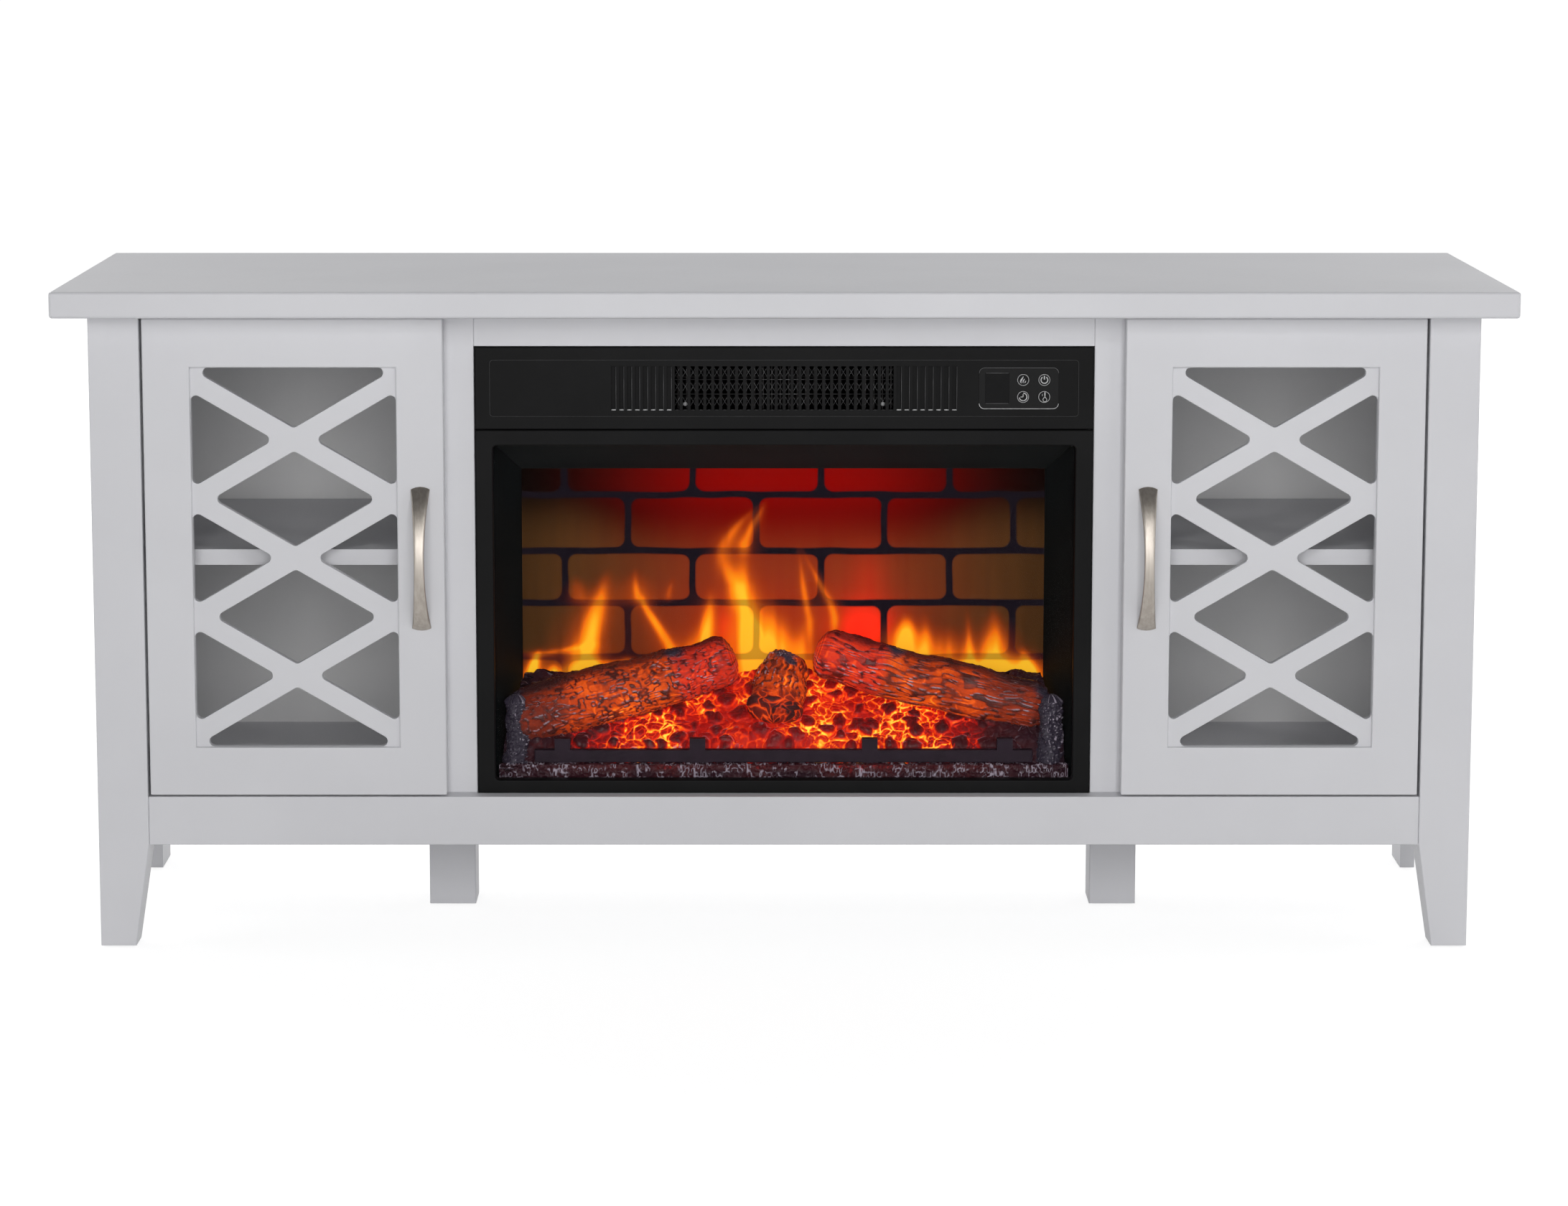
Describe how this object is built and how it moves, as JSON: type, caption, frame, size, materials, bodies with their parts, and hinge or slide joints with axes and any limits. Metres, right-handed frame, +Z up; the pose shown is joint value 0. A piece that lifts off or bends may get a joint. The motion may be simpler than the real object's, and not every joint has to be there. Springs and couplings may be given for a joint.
{
  "type": "fireplace television stand",
  "caption": "Long white television cabinet with lattice-door cupboards at both ends and a built-in electric log fire with fan heater in the middle, on tapered legs.",
  "frame": {"origin": "on the floor under the middle of the top panel", "axes": "+X to the right seen from the front, +Y to the back, +Z up"},
  "size_m": [1.372, 0.4, 0.635],
  "materials": {
    "white_paint": "satin white lacquer on fibreboard",
    "white_back": "white foil on thin hardboard",
    "satin_nickel": "satin nickel",
    "hinge_steel": "nickel plated pressed steel",
    "zinc_steel": "bright zinc plate",
    "beech": "plain beech",
    "glide_plastic": "smooth nylon",
    "black_steel": "matt black powder coat",
    "black_frame": "fine textured black paint",
    "panel_plastic": "smooth black plastic",
    "button_plastic": "soft black plastic with pale printed symbol",
    "display_tint": "dark tinted window",
    "clear_glass": "clear tempered glass",
    "screen_film": "printed brick screen lit from behind",
    "ember_resin": "cast translucent resin embers",
    "log_resin": "cast resin with painted bark",
    "grate_iron": "matt black",
    "bright_aluminium": "bright rolled aluminium",
    "circuit_board": "green solder mask",
    "motor_steel": "plain steel can",
    "gland_rubber": "moulded rubber"
  },
  "bodies": {
    "cabinet": {"back_panels": "white_back", "blower_housing": "black_steel", "blower_motor": "motor_steel", "bottom_panel": "white_paint", "centre_log": "log_resin", "control_board": "circuit_board", "control_panel": "panel_plastic", "control_strip": "black_frame", "cord_gland": "gland_rubber", "display_window": "display_tint", "ember_bed": "ember_resin", "fascia_rail": "white_paint", "fire_brackets": "zinc_steel", "fire_case": "black_steel", "firebox_cheeks": "black_steel", "firebox_hood": "black_steel", "flame_screen": "screen_film", "front_apron": "white_paint", "front_frame": "black_frame", "grate_bar": "grate_iron", "heater_guard": "black_steel", "heating_element": "bright_aluminium", "hinge_arms": "hinge_steel", "left_face_stile": "white_paint", "left_front_leg": "white_paint", "left_log": "log_resin", "left_partition": "white_paint", "left_side_panel": "white_paint", "leg_glides": "glide_plastic", "light_board": "circuit_board", "rear_cover": "black_steel", "right_face_stile": "white_paint", "right_front_leg": "white_paint", "right_log": "log_resin", "right_partition": "white_paint", "right_side_panel": "white_paint", "rotor_motor": "motor_steel", "shelf_pins": "zinc_steel", "shelves": "white_paint", "support_legs": "white_paint", "top_panel": "white_paint", "viewing_glass": "clear_glass", "wood_dowels": "beech", "wood_screws": "zinc_steel"},
    "blower_wheel": {"blower_wheel": "bright_aluminium"},
    "flame_button": {"flame_button": "button_plastic"},
    "flame_rotor": {"flame_rotor": "bright_aluminium"},
    "heat_button": {"heat_button": "button_plastic"},
    "left_door": {"left_door_frame": "white_paint", "left_door_lattice": "white_paint", "left_handle": "satin_nickel", "left_handle_screws": "zinc_steel", "left_hinge_cups": "hinge_steel"},
    "power_button": {"power_button": "button_plastic"},
    "right_door": {"right_door_frame": "white_paint", "right_door_lattice": "white_paint", "right_handle": "satin_nickel", "right_handle_screws": "zinc_steel", "right_hinge_cups": "hinge_steel"},
    "timer_button": {"timer_button": "button_plastic"}
  },
  "joints": [
    {"name": "left_door_hinge", "type": "hinge", "parent": "cabinet", "child": "left_door", "pos_m": [-0.5895, -0.162, 0.37825], "axis": [0, 0, -1], "range_deg": [0, 100]},
    {"name": "right_door_hinge", "type": "hinge", "parent": "cabinet", "child": "right_door", "pos_m": [0.5895, -0.162, 0.37825], "axis": [0, 0, 1], "range_deg": [0, 100]},
    {"name": "flame_button_press", "type": "slide", "parent": "cabinet", "child": "flame_button", "axis": [0, 1, 0], "range_m": [0, 0.0008], "stiffness_N_per_m": 400},
    {"name": "power_button_press", "type": "slide", "parent": "cabinet", "child": "power_button", "axis": [0, 1, 0], "range_m": [0, 0.0008], "stiffness_N_per_m": 400},
    {"name": "timer_button_press", "type": "slide", "parent": "cabinet", "child": "timer_button", "axis": [0, 1, 0], "range_m": [0, 0.0008], "stiffness_N_per_m": 400},
    {"name": "heat_button_press", "type": "slide", "parent": "cabinet", "child": "heat_button", "axis": [0, 1, 0], "range_m": [0, 0.0008], "stiffness_N_per_m": 400},
    {"name": "blower_spin", "type": "hinge", "parent": "cabinet", "child": "blower_wheel", "pos_m": [0, -0.0837, 0.5408], "axis": [1, 0, 0], "continuous": true},
    {"name": "flame_rotor_spin", "type": "hinge", "parent": "cabinet", "child": "flame_rotor", "pos_m": [0, -0.02, 0.1895], "axis": [1, 0, 0], "continuous": true}
  ]
}
